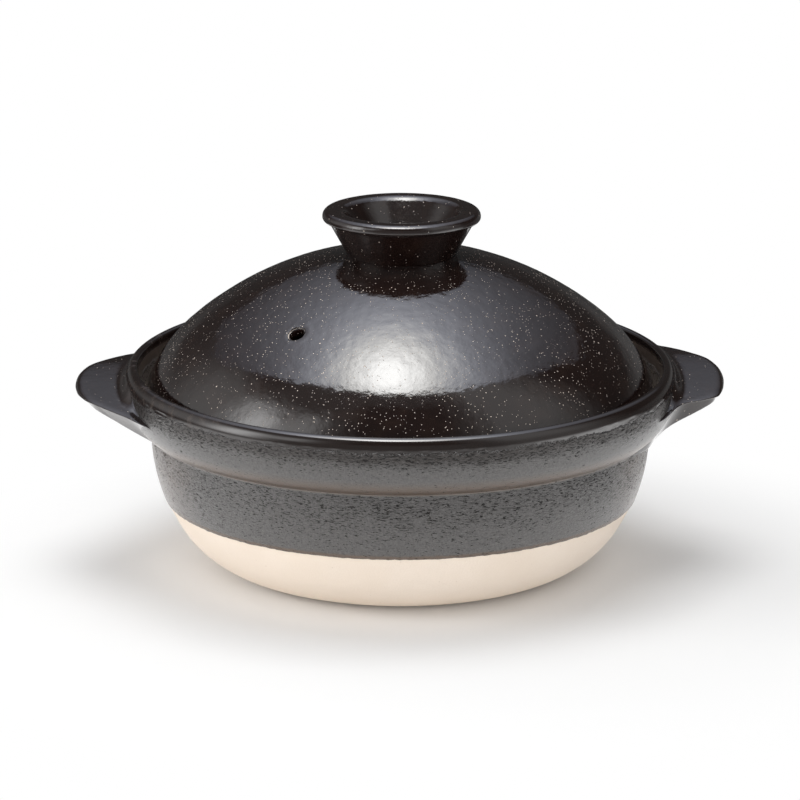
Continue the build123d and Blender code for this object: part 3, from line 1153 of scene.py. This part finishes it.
floor_material, output, place = emitter("white floor")
camera_ray, glossy_ray, passing_ray = ray_kinds(floor_material.node_tree)
far = place.vector("SUBTRACT", (0.02, -0.05, 0)).length().ease(0.15, 0.262)
lit = place.node("ShaderNodeBsdfDiffuse", {}, {"Color": (0.83, 0.83, 0.83, 1)})
white = place.node("ShaderNodeEmission", {}, {"Strength": 1.0})
near = place.node("ShaderNodeMixShader", {}, {0: far * camera_ray, 1: lit, 2: white})
glow = place.node("ShaderNodeEmission", {}, {"Strength": glossy_ray.larger(passing_ray)})
feed(output, "Surface", place.node("ShaderNodeAddShader", {}, {0: near, 1: glow}))
studio_radius = 3.6
floor = bmesh.new()
bmesh.ops.create_circle(floor, cap_ends=True, segments=96, radius=studio_radius)
stage_object(floor, "floor", floor_material)

# %% White walls
world = bpy.data.worlds.new("studio")
world.use_nodes = True
background = next(n for n in world.node_tree.nodes if n.type == "BACKGROUND")
background.inputs["Color"].default_value = (1, 1, 1, 1)
camera_ray, glossy_ray, passing_ray = ray_kinds(world.node_tree)
fill = 0.58
feed(background, "Strength", camera_ray.larger(glossy_ray).larger(passing_ray) * (1 - fill) + fill)
bpy.context.scene.world = world

# %% [markdown]
# The flags are one round tent that only glossy rays can see. Its shade changes with the direction:
# nearly black behind the pot with a faint light low on both sides, dark grey in front, lighter to
# the right, and bright where the tall card stands on the left.

# %% Hang the flags
def only_mirrored(thing):
    """Leaves a studio piece to be seen by glossy rays alone."""
    thing.visible_camera = thing.visible_diffuse = thing.visible_transmission = False
    thing.visible_shadow = thing.visible_volume_scatter = False


def azimuth_of(place):
    """How far round a place is: 0 at the camera's side, positive to the right. Then how far aside."""
    azimuth = place.split("X").math("ARCTAN2", place.split("Y") * -1)
    return azimuth, azimuth.math("ABSOLUTE")


def between(angle, low, high):
    """0 on one side of a stretch of angles in degrees and 1 on the other, with a smooth rise."""
    return angle.ease(radians(low), radians(high))


def back_sides(aside):
    """1 where a direction points to the left or the right of straight behind."""
    return between(aside, 92, 118) * between(aside, 172, 150)


def shine(output, strength, cover=None, colour=(1, 1, 1, 1)):
    """Makes a surface give off light. Where it isn't covered, it is clear."""
    glow = strength.node("ShaderNodeEmission", {}, {"Color": colour, "Strength": strength})
    if cover:
        clear = strength.node("ShaderNodeBsdfTransparent", {}, {})
        glow = strength.node("ShaderNodeMixShader", {}, {0: cover, 1: clear, 2: glow})
    feed(output, "Surface", glow)


flag_material, output, place = emitter("grey flags")
direction = place.vector("NORMALIZE")
azimuth, aside = azimuth_of(direction)
elevation = direction.split("Z").math("ARCSINE")


def card(turn, rise, half_turn, half_rise):
    """A soft upright card of light, centred at a turn and a rise in degrees."""
    across = (azimuth - radians(turn)) / radians(half_turn)
    upward = (elevation - radians(rise)) / radians(half_rise)
    upward = upward * upward
    return (-1 * (across * across + upward * upward)).math("EXPONENT")


around = between(aside, 112, 70)
shade = around * 0.27 + 0.05
right = between(azimuth, 33, 52) * around
shade = shade + right * (between(elevation, 12, 38) * 0.4 + 0.3)
shade = shade + back_sides(aside) * between(elevation, 14, 5) * 0.12
dark_patch = between(aside, 34, 20) * between(elevation, 31, 38)
shade = shade * (1 - dark_patch * between(elevation, 64, 57) * 0.7)
shade = shade + card(-74, 22, 13, 19) * 5.6 + card(-50, 34, 9, 12) * 1.9 + card(-104, 24, 24, 22) * 0.9
shine(output, shade)
tent = bmesh.new()
bmesh.ops.create_uvsphere(tent, u_segments=96, v_segments=48, radius=studio_radius)
bmesh.ops.bisect_plane(tent, geom=everything(tent), plane_co=(0, 0, 0.001), plane_no=(0, 0, -1),
                       clear_outer=True)
only_mirrored(stage_object(tent, "flags", flag_material))

# %% [markdown]
# Gloss should show the white floor near the pot alone. A grey cloth on the floor does that. It is
# clear round the pot, brighter in front and at the sides, and dark
# behind.

# %% Lay the grey cloth
cloth_material, output, place = emitter("grey cloth")
distance = place.length()
azimuth, aside = azimuth_of(place)
front = between(aside, 108, 78)
side = between(aside, 35, 60) * front
fading = ((0.4 - distance) / 0.35).math("MINIMUM", 0).math("EXPONENT")
right = between(azimuth, 30, 60) * front
shade = front * (fading * 0.8 + 0.42) + side * (fading * 1.3 + 0.2) + right * (fading + 0.3) + 0.04
shine(output, shade + back_sides(aside) * 0.1, cover=distance.ease(0.29, 0.41))
cloth = bmesh.new()
bmesh.ops.create_circle(cloth, cap_ends=True, segments=96, radius=studio_radius)
bmesh.ops.translate(cloth, verts=cloth.verts, vec=(0, 0, 0.5 * mm))
only_mirrored(stage_object(cloth, "cloth", cloth_material))

# %% [markdown]
# The panel overhead gives the dome its highlight. It is hottest in the middle, fades towards the
# back and the sides, and ends sharply at the front, where its frame is.

# %% Hang the overhead panel
panel_height = 1.5
panel_material, output, place = emitter("overhead panel")
across = place.split("X") / 1.42
forward = (place.split("Y") * -1 - 0.085) / 1.41
aside = (across + 0.06) / 0.252
ahead = (forward - 0.109) / 0.385
fall = (aside * aside + ahead * ahead + 1) ** -1.16
fall = fall * (forward.ease(-0.35, 0.08) * 0.28 + 0.72)
frame_edge = 1 - (forward + across * across * 0.9).ease(0.29, 0.35)
tint = fall.ease(0.05, 0.5).blend((0.93, 0.98, 1.12, 1), (1.0, 1.0, 0.985, 1))
shine(output, fall * frame_edge * 21, cover=frame_edge, colour=tint)
panel = bmesh.new()
bmesh.ops.create_grid(panel, x_segments=1, y_segments=1, size=1)
bmesh.ops.scale(panel, verts=panel.verts, vec=(1.7, 2.0, 1))
bmesh.ops.translate(panel, verts=panel.verts, vec=(0, 1.2, panel_height))
only_mirrored(stage_object(panel, "overhead_panel", panel_material))

# %% Light the clay
def lamp(name, place, aim_at, size, level):
    """A soft square lamp that lights a surface facing it to a level, where 1 shows white as white."""
    light = bpy.data.lights.new(name, "AREA")
    light.size = size
    gap = (Vector(place) - Vector(aim_at)).length
    light.energy = level * pi * pi * gap**2
    made = into_scene(name, light)
    made.location = place
    made.rotation_euler = (Vector(aim_at) - Vector(place)).to_track_quat("-Z", "Y").to_euler()
    made.visible_glossy = False


lamp("overhead lamp", (0.05, 0.1, 1.5), (0, 0, 0), 0.9, 0.46)
lamp("left lamp", (-1.3, -0.3, 0.5), (0, 0, 0.05), 0.7, 0.42)
lamp("front fill", (0.1, -1.6, 0.5), (0, 0, 0.05), 1.0, 0.36)
